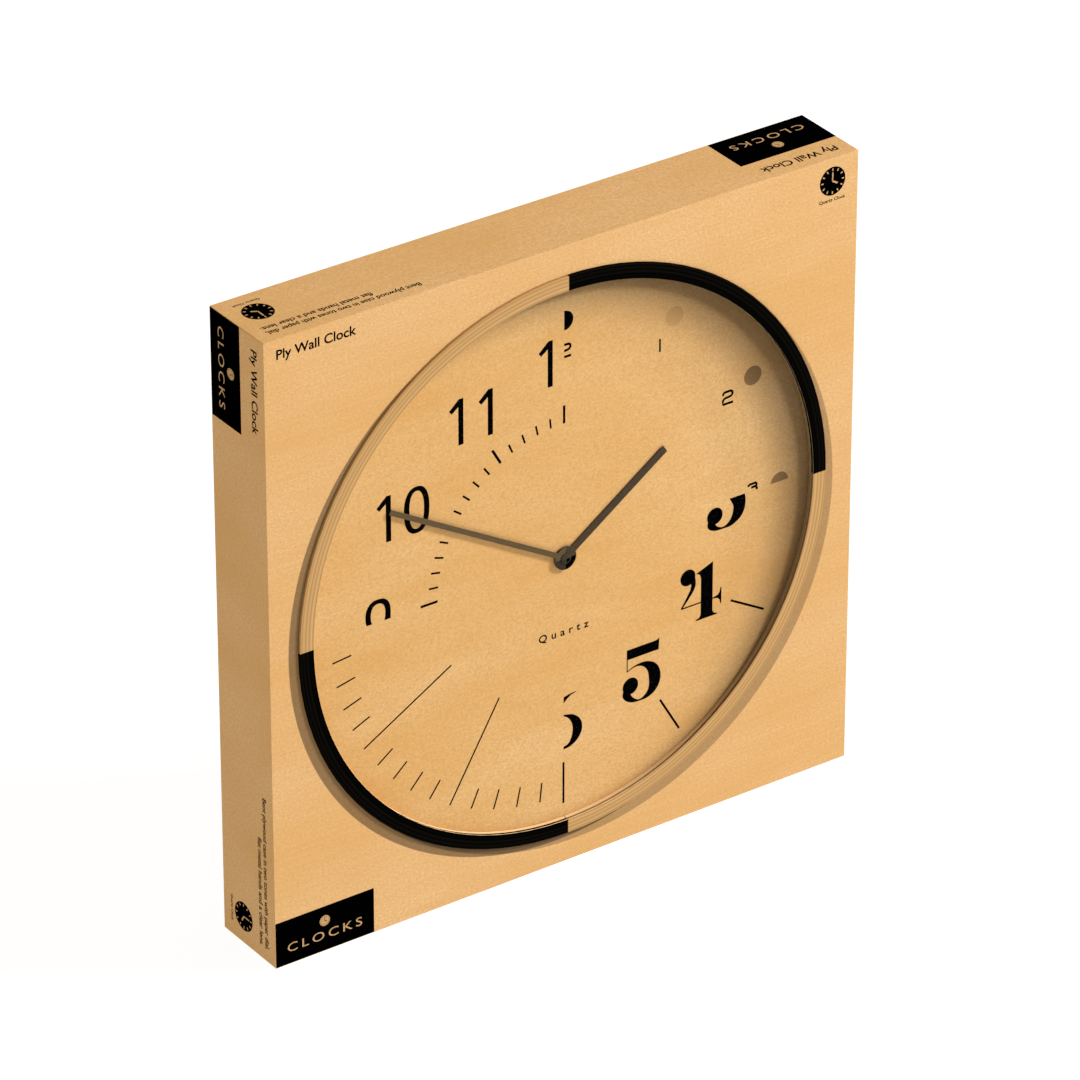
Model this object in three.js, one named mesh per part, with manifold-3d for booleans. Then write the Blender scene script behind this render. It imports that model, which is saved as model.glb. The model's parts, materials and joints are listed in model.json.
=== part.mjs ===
// A 450 mm quartz wall clock in its telescoping kraft box, 498 x 498 x 66 mm.
// Millimetres, +Z up, the dial faces -Y. The origin is at the middle of the box's footprint, on the floor.
import * as THREE from "three";
import { mergeVertices } from "three/addons/utils/BufferGeometryUtils.js";
import Module from "manifold-3d";

const wasm = await Module();
wasm.setup();

// ---------------------------------------------------------------- driving dimensions
const BOX_SIDE = 498; // the box is square seen from the front
const BOX_DEPTH = 66;
const BOARD = 2.5; // thickness of the box board
const LID_CLEARANCE = 0.6; // between the lid and the tray inside it
const CASE_RADIUS = 225;
const CASE_PROUD = 1.8; // how far the clock's case stands out of the box front
const CASE_BACK = 55; // depth of the case's back edge behind the box front
const SIGHT_RADIUS = 213.8; // the open circle inside the case's front lip
const GAP = 0.3; // between pieces that touch
const RING_SEGMENTS = 96;
const DISC_SEGMENTS = 72;

const TIME_HOUR = 1 + 50 / 60; // the hands stand at ten to two
const TIME_MINUTE = 50;

// Depths behind the box front, from the glass to the dial
const LENS_FRONT = -0.9;
const LENS_BACK = 0.4;
const CAP_FRONT = 0.7;
const MINUTE_HAND_FRONT = 1.6;
const HOUR_HAND_FRONT = 2.6;
const HAND_THICKNESS = 0.6;
const DIAL_FRONT = 4;
const DIAL_BACK = 6.5;

// Movement housing, measured from the spindle; its depths count from the back of the dial
const HOUSING_HALF_WIDTH = 29.5;
const HOUSING_TOP = 25;
const HOUSING_BOTTOM = -34;
const HOUSING_FRONT = 1.4;
const HOUSING_INSIDE = 2.9;
const HOUSING_BACK = 15.2;
const COVER_BACK = 17;
const WALL = 1.5;
const BAY_WALL_TOP = -16; // the wall between the wheels and the battery bay
const CELL_RADIUS = 7.1;
const CELL_LENGTH = 49.2; // without the raised end
const CELL_DEPTH = 10.5; // depth of the cell's axis
const CELL_HEIGHT = -25;

// Wheel train: tooth counts, modules and depth of each layer of wheels
const MOTION_MODULE = 0.4;
const HOUR_MODULE = 0.384; // 50 teeth here span the same centres as 48 at the module above
const TRAIN_MODULE = 0.36;
const PIVOT_RADIUS = 0.45;
const PIVOT_HOLE = 0.75;
const POST_RADIUS = 0.7;
const WHEEL_THICKNESS = 1;
const MOTION_THICKNESS = 1.2;
const LAYER = { hour: 3.4, motion: 4.9, centre: 6.6, third: 8, fourth: 9.4, fifth: 10.8 };

const COLOURS = {
  kraft: 0xd9b27c,
  pulp: 0xb59a76,
  pale_ply: 0xdcb682,
  black_ply: 0x0c0b0a,
  liner_ply: 0xcfae7e,
  glass: 0xe8f0f0,
  dial: 0xe6bd84,
  hand_metal: 0x352a20,
  steel: 0xb9bcbf,
  brass: 0xc9a24a,
  copper: 0xb4622d,
  white_plastic: 0xe9e7e0,
  black_plastic: 0x1b1b1c,
  circuit: 0x2f6b3c,
  rubber: 0x222222,
  cell: 0x2b5d8a,
};
const METALS = new Set(["hand_metal", "steel", "brass", "copper"]);

function material(name) {
  const metal = METALS.has(name);
  return new THREE.MeshStandardMaterial({
    color: COLOURS[name],
    metalness: metal ? 0.9 : 0,
    roughness: metal ? 0.35 : 0.75,
    transparent: name === "glass",
    opacity: name === "glass" ? 0.3 : 1,
  });
}

// ---------------------------------------------------------------- solids
// A three.js geometry as a manifold-3d solid, for cutting and joining.
function solid(geometry) {
  const bare = geometry.index ? geometry.toNonIndexed() : geometry.clone();
  bare.deleteAttribute("normal");
  bare.deleteAttribute("uv");
  const merged = mergeVertices(bare, 1e-4);
  return new wasm.Manifold(
    new wasm.Mesh({
      numProp: 3,
      vertProperties: merged.attributes.position.array,
      triVerts: new Uint32Array(merged.index.array),
    }),
  );
}

function geometryOf(shape) {
  const { vertProperties, triVerts } = shape.getMesh();
  const geometry = new THREE.BufferGeometry();
  geometry.setAttribute("position", new THREE.BufferAttribute(vertProperties, 3));
  geometry.setIndex(new THREE.BufferAttribute(triVerts, 1));
  const flat = geometry.toNonIndexed();
  flat.computeVertexNormals();
  return flat;
}

const join = (first, ...rest) => rest.reduce((made, next) => made.add(next), first);
const cut = (first, ...rest) => rest.reduce((made, next) => made.subtract(next), first);

function block([x0, x1], [y0, y1], [z0, z1]) {
  const geometry = new THREE.BoxGeometry(x1 - x0, y1 - y0, z1 - z0);
  return solid(geometry.translate((x0 + x1) / 2, (y0 + y1) / 2, (z0 + z1) / 2));
}

// A solid of revolution about the Y axis through (x, z). Its profile is [radius, y] points.
function turned(profile, segments = RING_SEGMENTS, [x, z] = [0, 0]) {
  const points = profile.map(([r, y]) => new THREE.Vector2(r, y));
  const made = solid(new THREE.LatheGeometry(points, segments).translate(x, 0, z));
  return made.volume() > 0 ? made : turned([...profile].reverse(), segments, [x, z]);
}

const rod = (radius, y0, y1, at = [0, 0], segments = 24) =>
  turned([[0, y0], [radius, y0], [radius, y1], [0, y1]], segments, at);

const tube = (inner, outer, y0, y1, at = [0, 0], segments = 24) =>
  turned([[inner, y0], [outer, y0], [outer, y1], [inner, y1], [inner, y0]], segments, at);

// An outline drawn in X and Z, made thick from y0 to y1.
function plate(outline, y0, y1, holes = []) {
  const shape = new THREE.Shape(outline.map(([x, z]) => new THREE.Vector2(x, z)));
  shape.holes = holes.map((hole) => new THREE.Path(hole.map(([x, z]) => new THREE.Vector2(x, z))));
  const geometry = new THREE.ExtrudeGeometry(shape, { depth: y1 - y0, bevelEnabled: false });
  return solid(geometry.rotateX(Math.PI / 2).translate(0, y1, 0));
}

const polar = (radius, angle, [x, z] = [0, 0]) => [
  x + radius * Math.cos(angle),
  z + radius * Math.sin(angle),
];

// ---------------------------------------------------------------- scene graph
const root = new THREE.Group();
const spindleHeight = BOX_SIDE / 2;
const frontY = CASE_PROUD - (BOX_DEPTH + CASE_PROUD) / 2;

const box = new THREE.Group();
box.position.set(0, frontY, 0);
const clock = new THREE.Group();
clock.position.set(0, frontY, spindleHeight);
const movement = new THREE.Group();
movement.position.set(0, DIAL_BACK, 0);
clock.add(movement);
root.add(box, clock);

function put(group, name, finish, shape) {
  const mesh = new THREE.Mesh(geometryOf(shape), material(finish));
  mesh.name = name;
  group.add(mesh);
  return mesh;
}

// ---------------------------------------------------------------- box: lid, tray and corner blocks
const WINDOW_RADIUS = CASE_RADIUS + 0.5;
const TRAY_FRONT = BOARD + 1; // depth of the tray's front edge behind the box front
const TRAY_INSET = BOARD + LID_CLEARANCE;
const CORNER_BLOCK = 108;
const LEDGE_RADIUS = 208;

function boxLid() {
  const half = BOX_SIDE / 2;
  const outer = block([-half, half], [0, BOX_DEPTH], [0, BOX_SIDE]);
  const inner = block(
    [BOARD - half, half - BOARD],
    [BOARD, BOX_DEPTH + 1],
    [BOARD, BOX_SIDE - BOARD],
  );
  const window = rod(WINDOW_RADIUS, -1, BOARD + 1, [0, spindleHeight], RING_SEGMENTS);
  return cut(outer, inner, window);
}

function boxTray() {
  const half = BOX_SIDE / 2 - TRAY_INSET;
  const outer = block([-half, half], [TRAY_FRONT, BOX_DEPTH], [TRAY_INSET, BOX_SIDE - TRAY_INSET]);
  const inner = block(
    [BOARD - half, half - BOARD],
    [TRAY_FRONT - 1, BOX_DEPTH - BOARD],
    [TRAY_INSET + BOARD, BOX_SIDE - TRAY_INSET - BOARD],
  );
  return cut(outer, inner);
}

// A pulp block that fills one corner of the tray; its ledge carries the back edge of the case.
function cornerBlock(right, up) {
  const wall = BOX_SIDE / 2 - TRAY_INSET - BOARD - GAP;
  const [near, far] = [wall - CORNER_BLOCK, wall];
  const span = (positive) => (positive ? [near, far] : [-far, -near]);
  const heights = span(up).map((z) => spindleHeight + z);
  const back = BOX_DEPTH - BOARD - GAP;
  const ledgeFront = CASE_BACK + GAP;
  const corner = block(span(right), [TRAY_FRONT + 2, back], heights);
  const seat = rod(CASE_RADIUS + 1, 0, ledgeFront, [0, spindleHeight], RING_SEGMENTS);
  const middle = rod(LEDGE_RADIUS, 0, BOX_DEPTH, [0, spindleHeight], RING_SEGMENTS);
  return cut(corner, seat, middle);
}

put(box, "box_lid", "kraft", boxLid());
put(box, "box_tray", "kraft", boxTray());
for (const [side, right] of [["left", false], ["right", true]])
  for (const [level, up] of [["lower", false], ["upper", true]])
    put(box, `corner_block_${level}_${side}`, "pulp", cornerBlock(right, up));

// ---------------------------------------------------------------- case, glass and dial
const GROOVE_RADIUS = SIGHT_RADIUS + 2.5; // the glass sits in this groove
const REBATE_RADIUS = SIGHT_RADIUS + 3; // the dial and the liner sit in this rebate
const HANGER_SCREW_X = 22;
const SCREW_CIRCLE = (REBATE_RADIUS + CASE_RADIUS) / 2;
const HANGER_SCREW_Z = Math.sqrt(SCREW_CIRCLE ** 2 - HANGER_SCREW_X ** 2);
const SCREW_SHANK = 1.3;
const SCREW_DEPTH = 12;

function caseRing() {
  const ring = turned([
    [SIGHT_RADIUS, -CASE_PROUD],
    [CASE_RADIUS, -CASE_PROUD],
    [CASE_RADIUS, CASE_BACK],
    [REBATE_RADIUS, CASE_BACK],
    [REBATE_RADIUS, DIAL_FRONT - GAP],
    [SIGHT_RADIUS, DIAL_FRONT - GAP],
    [SIGHT_RADIUS, LENS_BACK + GAP],
    [GROOVE_RADIUS, LENS_BACK + GAP],
    [GROOVE_RADIUS, LENS_FRONT - GAP],
    [SIGHT_RADIUS, LENS_FRONT - GAP],
    [SIGHT_RADIUS, -CASE_PROUD],
  ]);
  const pilot = (x) =>
    rod(SCREW_SHANK + GAP, CASE_BACK - SCREW_DEPTH - 1, CASE_BACK + 1, [x, HANGER_SCREW_Z], 12);
  return cut(ring, pilot(-HANGER_SCREW_X), pilot(HANGER_SCREW_X));
}

const ring = caseRing();
const QUADRANTS = [
  ["case_quadrant_12_to_3", "black_ply", 1, 1],
  ["case_quadrant_3_to_6", "pale_ply", 1, -1],
  ["case_quadrant_6_to_9", "black_ply", -1, -1],
  ["case_quadrant_9_to_12", "pale_ply", -1, 1],
];
for (const [name, finish, sideX, sideZ] of QUADRANTS) {
  const reach = (side) => (side > 0 ? [GAP / 2, CASE_RADIUS + 5] : [-CASE_RADIUS - 5, -GAP / 2]);
  put(clock, name, finish, ring.intersect(block(reach(sideX), [-10, CASE_BACK + 5], reach(sideZ))));
}

const SEAT_RADIUS = REBATE_RADIUS - GAP;
const LENS_RADIUS = GROOVE_RADIUS - GAP;
const LINER_RADIUS = 212;
const DIAL_HOLE = 5.2;
const NUT_RECESS_RADIUS = 8; // the fixing nut is let into the front of the dial
const NUT_RECESS_FLOOR = 5.3;

function caseLiner() {
  return tube(LINER_RADIUS, SEAT_RADIUS, DIAL_BACK + GAP, CASE_BACK, [0, 0], DISC_SEGMENTS);
}

function dialPlate() {
  return turned(
    [
      [NUT_RECESS_RADIUS, DIAL_FRONT],
      [SEAT_RADIUS, DIAL_FRONT],
      [SEAT_RADIUS, DIAL_BACK],
      [DIAL_HOLE, DIAL_BACK],
      [DIAL_HOLE, NUT_RECESS_FLOOR],
      [NUT_RECESS_RADIUS, NUT_RECESS_FLOOR],
      [NUT_RECESS_RADIUS, DIAL_FRONT],
    ],
    DISC_SEGMENTS,
  );
}

put(clock, "case_liner", "liner_ply", caseLiner());
put(clock, "glass_lens", "glass", rod(LENS_RADIUS, LENS_FRONT, LENS_BACK, [0, 0], DISC_SEGMENTS));
put(clock, "dial_plate", "dial", dialPlate());

// ---------------------------------------------------------------- wall hanger on the back edge
const HANGER_HALF_WIDTH = 32;
const HANGER_FRONT = CASE_BACK + GAP;
const HANGER_THICKNESS = 1.5;
const HANGER_LOW = 194;
const KEYHOLE_HEIGHT = 200;
const KEYHOLE_TOP = 209;
const KEYHOLE_HEAD_RADIUS = 4.5;
const KEYHOLE_NECK = 2.2;
const SCREW_HEAD_RADIUS = 2.8;
const SCREW_SLOT_HALF_WIDTH = 0.35;

function hangerPlate() {
  const y0 = HANGER_FRONT;
  const y1 = HANGER_FRONT + HANGER_THICKNESS;
  const through = [y0 - 1, y1 + 1];
  const width = [-HANGER_HALF_WIDTH, HANGER_HALF_WIDTH];
  const body = block(width, [y0, y1], [HANGER_LOW, HANGER_SCREW_Z + 3]);
  const screwHole = (x) => rod(SCREW_SHANK + GAP, ...through, [x, HANGER_SCREW_Z], 12);
  const keyHead = rod(KEYHOLE_HEAD_RADIUS, ...through, [0, KEYHOLE_HEIGHT], 24);
  const keyNeck = block([-KEYHOLE_NECK, KEYHOLE_NECK], through, [KEYHOLE_HEIGHT, KEYHOLE_TOP]);
  return cut(body, screwHole(-HANGER_SCREW_X), screwHole(HANGER_SCREW_X), keyHead, keyNeck);
}

function hangerScrew(x) {
  const head = HANGER_FRONT + HANGER_THICKNESS + GAP;
  const profile = [
    [0, CASE_BACK - SCREW_DEPTH],
    [SCREW_SHANK, CASE_BACK - SCREW_DEPTH + 2],
    [SCREW_SHANK, head],
    [SCREW_HEAD_RADIUS, head],
    [SCREW_HEAD_RADIUS - 0.4, head + 1.4],
    [0, head + 1.6],
  ];
  const slot = block(
    [x - 2, x + 2],
    [head + 0.9, head + 2],
    [HANGER_SCREW_Z - SCREW_SLOT_HALF_WIDTH, HANGER_SCREW_Z + SCREW_SLOT_HALF_WIDTH],
  );
  return cut(turned(profile, 16, [x, HANGER_SCREW_Z]), slot);
}

put(clock, "hanger_plate", "steel", hangerPlate());
put(clock, "hanger_screw_left", "steel", hangerScrew(-HANGER_SCREW_X));
put(clock, "hanger_screw_right", "steel", hangerScrew(HANGER_SCREW_X));

const BUMPER_RADIUS = 3.8;
const BUMPER_FRONT = CASE_BACK + GAP;
for (const [side, angle] of [["left", -115], ["right", -65]]) {
  const at = polar(SCREW_CIRCLE, THREE.MathUtils.degToRad(angle));
  put(clock, `wall_bumper_${side}`, "rubber", rod(BUMPER_RADIUS, BUMPER_FRONT, BUMPER_FRONT + 2, at, 20));
}

// ---------------------------------------------------------------- hands
const MINUTE_REACH = 170;
const HOUR_REACH = 105;
const MINUTE_HALF_WIDTH = 2;
const HOUR_HALF_WIDTH = 3.1;
const HUB_RADIUS = 9;
const CAP_RADIUS = 4.2;
const ARBOR_RADIUS = 1.3;
const PIPE_INNER = 1.65;
const PIPE_OUTER = 2.3;

// A straight bar hand with a round hub, pointing at twelve.
function hand(reach, halfWidth, front, hole) {
  const back = front + HAND_THICKNESS;
  const bar = block([-halfWidth, halfWidth], [front, back], [0, reach]);
  const hub = rod(HUB_RADIUS, front, back, [0, 0], 40);
  return cut(join(hub, bar), rod(hole, front - 1, back + 1, [0, 0], 20));
}

function centreCap() {
  const back = MINUTE_HAND_FRONT - GAP;
  const profile = [
    [0, CAP_FRONT],
    [CAP_RADIUS - 0.8, CAP_FRONT + 0.05],
    [CAP_RADIUS, CAP_FRONT + 0.25],
    [CAP_RADIUS, back],
    [0, back],
  ];
  return turned(profile, 32);
}

const minuteShape = hand(MINUTE_REACH, MINUTE_HALF_WIDTH, MINUTE_HAND_FRONT, ARBOR_RADIUS + GAP);
const hourShape = hand(HOUR_REACH, HOUR_HALF_WIDTH, HOUR_HAND_FRONT, PIPE_OUTER + GAP);
put(clock, "minute_hand", "hand_metal", minuteShape).rotation.y = (TIME_MINUTE / 60) * 2 * Math.PI;
put(clock, "hour_hand", "hand_metal", hourShape).rotation.y = (TIME_HOUR / 12) * 2 * Math.PI;
put(clock, "centre_cap", "hand_metal", centreCap());

// ---------------------------------------------------------------- spindle fixing
const THREAD_RADIUS = 4;
const BUSHING_FRONT = HOUR_HAND_FRONT + HAND_THICKNESS + GAP;
const BUSHING_BACK = DIAL_BACK + HOUSING_INSIDE + 0.1;
const NUT_RADIUS = 7.2; // across the corners
const NUT_FRONT = BUSHING_FRONT + 0.1;
const NUT_BACK = NUT_RECESS_FLOOR - GAP;
const WASHER_RADIUS = 9;
const WASHER_GAP = 0.2;

const hexagon = (radius) => Array.from({ length: 6 }, (_, i) => polar(radius, (i * Math.PI) / 3));

function fixingNut() {
  const thread = rod(THREAD_RADIUS + GAP, NUT_FRONT - 1, NUT_BACK + 1, [0, 0], 32);
  return cut(plate(hexagon(NUT_RADIUS), NUT_FRONT, NUT_BACK), thread);
}

function rubberWasher() {
  const front = DIAL_BACK + WASHER_GAP;
  const back = DIAL_BACK + HOUSING_FRONT - WASHER_GAP;
  return tube(THREAD_RADIUS + GAP, WASHER_RADIUS, front, back, [0, 0], 32);
}

const bushing = tube(PIPE_OUTER + GAP, THREAD_RADIUS, BUSHING_FRONT, BUSHING_BACK, [0, 0], 32);
put(clock, "threaded_bushing", "brass", bushing);
put(clock, "fixing_nut", "brass", fixingNut());
put(clock, "rubber_washer", "rubber", rubberWasher());

// ---------------------------------------------------------------- wheel train
// Where each arbor stands in the housing, and how its teeth are phased to mesh with its driver's.
const TEETH = {
  cannon: 12,
  minute: 36,
  minutePinion: 10,
  hour: 40,
  setting: 12,
  centre: 64,
  thirdPinion: 8,
  third: 60,
  fourthPinion: 8,
  fourth: 40,
  fifthPinion: 8,
  fifth: 36,
  rotor: 6,
};
const degrees = THREE.MathUtils.degToRad;
const span = (a, b, module) => ((TEETH[a] + TEETH[b]) * module) / 2;
const AT = { spindle: [0, 0] };
AT.minute = polar(span("cannon", "minute", MOTION_MODULE), degrees(200));
AT.setting = polar(span("minute", "setting", MOTION_MODULE), degrees(205), AT.minute);
AT.third = polar(span("centre", "thirdPinion", TRAIN_MODULE), degrees(20));
AT.fourth = polar(span("third", "fourthPinion", TRAIN_MODULE), degrees(112), AT.third);
AT.fifth = polar(span("fourth", "fifthPinion", TRAIN_MODULE), degrees(180), AT.fourth);
AT.rotor = polar(span("fifth", "rotor", TRAIN_MODULE), degrees(192), AT.fifth);

// The phase of a driven wheel whose teeth fall in the gaps of its driver's at the line of centres.
function meshPhase(driverAt, driverTeeth, driverPhase, at, teeth) {
  const line = Math.atan2(at[1] - driverAt[1], at[0] - driverAt[0]);
  const share = ((line - driverPhase) * driverTeeth) / (2 * Math.PI);
  return line + Math.PI - ((0.5 - share) * 2 * Math.PI) / teeth;
}

const PHASE = { cannon: 0, hour: 0, centre: 0 };
PHASE.minute = meshPhase(AT.spindle, TEETH.cannon, PHASE.cannon, AT.minute, TEETH.minute);
PHASE.minutePinion = meshPhase(AT.spindle, TEETH.hour, PHASE.hour, AT.minute, TEETH.minutePinion);
PHASE.setting = meshPhase(AT.minute, TEETH.minute, PHASE.minute, AT.setting, TEETH.setting);
PHASE.thirdPinion = meshPhase(AT.spindle, TEETH.centre, PHASE.centre, AT.third, TEETH.thirdPinion);
PHASE.third = PHASE.thirdPinion;
PHASE.fourthPinion = meshPhase(AT.third, TEETH.third, PHASE.third, AT.fourth, TEETH.fourthPinion);
PHASE.fourth = PHASE.fourthPinion;
PHASE.fifthPinion = meshPhase(AT.fourth, TEETH.fourth, PHASE.fourth, AT.fifth, TEETH.fifthPinion);
PHASE.fifth = PHASE.fifthPinion;
PHASE.rotor = meshPhase(AT.fifth, TEETH.fifth, PHASE.fifth, AT.rotor, TEETH.rotor);

const DEDENDUM = 1.05; // in modules
const ADDENDUM = 0.75;
const ROOT_SHARE = 0.24; // half a tooth's width at its root and at its tip, in pitches
const TIP_SHARE = 0.1;

// A spur wheel. Its teeth are slender wedges, so that a pair runs with backlash and never touches.
function wheel(part, module, y0, y1, at, phase = PHASE[part]) {
  const teeth = TEETH[part];
  const pitch = (2 * Math.PI) / teeth;
  const root = (module * teeth) / 2 - DEDENDUM * module;
  const tip = (module * teeth) / 2 + ADDENDUM * module;
  const outline = [];
  for (let i = 0; i < teeth; i++) {
    const middle = phase + i * pitch;
    outline.push(polar(root, middle - ROOT_SHARE * pitch, at));
    outline.push(polar(tip, middle - TIP_SHARE * pitch, at));
    outline.push(polar(tip, middle + TIP_SHARE * pitch, at));
    outline.push(polar(root, middle + ROOT_SHARE * pitch, at));
  }
  return plate(outline, y0, y1);
}

const ARBOR_SHOULDER = 1.1; // distance of a shoulder from the plate

// An arbor between the front plate and the back cover, thicker between its two pivots.
function arbor(at, radius) {
  const front = HOUSING_INSIDE;
  const back = HOUSING_BACK + GAP;
  const profile = [
    [0, front + GAP],
    [PIVOT_RADIUS, front + GAP],
    [PIVOT_RADIUS, front + ARBOR_SHOULDER],
    [radius, front + ARBOR_SHOULDER],
    [radius, back - ARBOR_SHOULDER],
    [PIVOT_RADIUS, back - ARBOR_SHOULDER],
    [PIVOT_RADIUS, back - GAP],
    [0, back - GAP],
  ];
  return turned(profile, 12, at);
}

// The minute arbor carries the cannon pinion; it runs from the back cover out through the hour pipe.
function minuteArbor() {
  const front = MINUTE_HAND_FRONT - DIAL_BACK;
  const shaft = rod(ARBOR_RADIUS, front, HOUSING_BACK - GAP, [0, 0], 20);
  return join(shaft, wheel("cannon", MOTION_MODULE, LAYER.motion, LAYER.motion + MOTION_THICKNESS, AT.spindle));
}

function hourWheel() {
  const front = HOUR_HAND_FRONT - DIAL_BACK;
  const pipe = tube(PIPE_INNER, PIPE_OUTER, front, LAYER.hour + 1.1, AT.spindle, 24);
  const rim = wheel("hour", HOUR_MODULE, LAYER.hour, LAYER.hour + 1.1, AT.spindle);
  return join(pipe, cut(rim, rod(PIPE_OUTER - 0.2, 0, 8, AT.spindle, 24)));
}

// The minute wheel turns on a post moulded on the front of the housing.
function minuteWheel() {
  const rim = wheel("minute", MOTION_MODULE, LAYER.motion, LAYER.motion + MOTION_THICKNESS, AT.minute);
  const pinion = wheel("minutePinion", HOUR_MODULE, LAYER.hour, LAYER.motion, AT.minute);
  return cut(join(rim, pinion), rod(POST_RADIUS + GAP, 0, 8, AT.minute, 16));
}

// The setting knob is on the back of the cover; its shaft reaches forward to the minute wheel.
const KNOB_SHAFT_RADIUS = 1.5;
const KNOB_RADIUS = 6.2;
const KNOB_FLUTES = 20;
const KNOB_THICKNESS = 3;

function settingKnob() {
  const knobFront = COVER_BACK + 0.4;
  const pivot = rod(POST_RADIUS, HOUSING_INSIDE + GAP, LAYER.motion + 1, AT.setting, 16);
  const shaft = rod(KNOB_SHAFT_RADIUS, LAYER.motion, knobFront + 1, AT.setting, 20);
  const pinion = wheel("setting", MOTION_MODULE, LAYER.motion, LAYER.motion + MOTION_THICKNESS, AT.setting);
  const outline = Array.from({ length: 2 * KNOB_FLUTES }, (_, i) =>
    polar(i % 2 ? KNOB_RADIUS : KNOB_RADIUS - 0.5, (i * Math.PI) / KNOB_FLUTES, AT.setting),
  );
  return join(pivot, shaft, pinion, plate(outline, knobFront, knobFront + KNOB_THICKNESS));
}

const COLLAR_RADIUS = 2.6;

// The centre wheel turns with the minute arbor through a slipping collar.
function centreWheel() {
  const rim = wheel("centre", TRAIN_MODULE, LAYER.centre, LAYER.centre + WHEEL_THICKNESS, AT.spindle);
  const collar = rod(COLLAR_RADIUS, LAYER.centre - 0.2, LAYER.centre + 1.1, AT.spindle, 20);
  return cut(join(rim, collar), rod(ARBOR_RADIUS + GAP, 0, COVER_BACK, AT.spindle, 20));
}

const TRAIN_ARBOR_RADIUS = 0.8;

// A wheel and the pinion in front of it, on one arbor.
function trainWheel(big, small, layer, pinionLayer) {
  const at = AT[big];
  const rim = wheel(big, TRAIN_MODULE, LAYER[layer], LAYER[layer] + WHEEL_THICKNESS, at);
  const leaves = wheel(small, TRAIN_MODULE, LAYER[pinionLayer] - 0.1, LAYER[layer], at);
  return join(arbor(at, TRAIN_ARBOR_RADIUS), rim, leaves);
}

const MAGNET_RADIUS = 3;
const MAGNET_Y = [LAYER.third - 0.6, LAYER.third + 1.6];
const ROTOR_LEAVES_BACK = LAYER.fifth + WHEEL_THICKNESS + 0.2;

function rotor() {
  const magnet = rod(MAGNET_RADIUS, ...MAGNET_Y, AT.rotor, 20);
  const leaves = wheel("rotor", TRAIN_MODULE, MAGNET_Y[1], ROTOR_LEAVES_BACK, AT.rotor);
  return join(arbor(AT.rotor, 0.7), magnet, leaves);
}

put(movement, "minute_arbor", "steel", minuteArbor());
put(movement, "hour_wheel", "white_plastic", hourWheel());
put(movement, "minute_wheel", "white_plastic", minuteWheel());
put(movement, "setting_knob", "white_plastic", settingKnob());
put(movement, "centre_wheel", "white_plastic", centreWheel());
put(movement, "third_wheel", "white_plastic", trainWheel("third", "thirdPinion", "third", "centre"));
put(movement, "fourth_wheel", "white_plastic", trainWheel("fourth", "fourthPinion", "fourth", "third"));
put(movement, "fifth_wheel", "white_plastic", trainWheel("fifth", "fifthPinion", "fifth", "fourth"));
put(movement, "rotor", "black_plastic", rotor());

// ---------------------------------------------------------------- movement housing
const TRAIN_PIVOTS = [AT.third, AT.fourth, AT.fifth, AT.rotor];

// A little tube with a blind hole, in which one end of an arbor turns.
const BOSS_RADIUS = 1.5;
const boss = (at, y0, y1, hole0, hole1) => ({
  body: rod(BOSS_RADIUS, y0, y1, at, 12),
  hole: rod(PIVOT_HOLE, hole0, hole1, at, 12),
});

function housing() {
  const [x, top, bottom] = [HOUSING_HALF_WIDTH, HOUSING_TOP, HOUSING_BOTTOM];
  const outer = block([-x, x], [HOUSING_FRONT, HOUSING_BACK], [bottom, top]);
  const [inside, open] = [HOUSING_INSIDE, HOUSING_BACK + 1];
  const wheels = block([WALL - x, x - WALL], [inside, open], [BAY_WALL_TOP, top - WALL]);
  const bay = block([WALL - x, x - WALL], [inside, open], [bottom + WALL, BAY_WALL_TOP - WALL]);
  const spindleHole = rod(THREAD_RADIUS + GAP, 0, inside + 1, AT.spindle, 32);
  const pivots = [...TRAIN_PIVOTS, AT.setting];
  const bosses = pivots.map((at) => boss(at, inside - 0.5, inside + 0.8, inside, inside + 2));
  const minutePost = rod(POST_RADIUS, inside - 0.5, LAYER.motion + MOTION_THICKNESS + 0.1, AT.minute, 16);
  const shell = join(cut(outer, wheels, bay), minutePost, ...bosses.map((b) => b.body));
  return cut(shell, spindleHole, ...bosses.map((b) => b.hole));
}

function backCover() {
  const x = HOUSING_HALF_WIDTH;
  const y0 = HOUSING_BACK + GAP;
  const sheet = block([-x, x], [y0, COVER_BACK], [BAY_WALL_TOP - WALL, HOUSING_TOP]);
  const bosses = TRAIN_PIVOTS.map((at) => boss(at, y0 - 0.8, y0 + 0.5, y0 - 2, y0));
  const spindleBoss = rod(2 * BOSS_RADIUS, y0 - 1.2, y0 + 0.2, AT.spindle, 20);
  const spindleRecess = rod(ARBOR_RADIUS + GAP, y0 - 2, y0 + 0.5, AT.spindle, 20);
  const knobHole = rod(KNOB_SHAFT_RADIUS + GAP, y0 - 1, COVER_BACK + 1, AT.setting, 20);
  const covered = join(sheet, spindleBoss, ...bosses.map((b) => b.body));
  return cut(covered, knobHole, spindleRecess, ...bosses.map((b) => b.hole));
}

put(movement, "movement_housing", "black_plastic", housing());
put(movement, "movement_back_cover", "black_plastic", backCover());

// ---------------------------------------------------------------- electrics
const STATOR_Y = [LAYER.third, LAYER.third + 1];
const STATOR_LEFT = -27;
const STATOR_HOLE_RADIUS = 3.6;
const THROUGH = [0, COVER_BACK];

function stator() {
  const [x, z] = AT.rotor;
  const sheet = block([STATOR_LEFT, x + 5.5], STATOR_Y, [z - 6, z + 5]);
  const slit = block([x - 0.5, x + 0.5], THROUGH, [z + 3, z + 6]);
  return cut(sheet, rod(STATOR_HOLE_RADIUS, ...THROUGH, AT.rotor, 24), slit);
}

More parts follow.
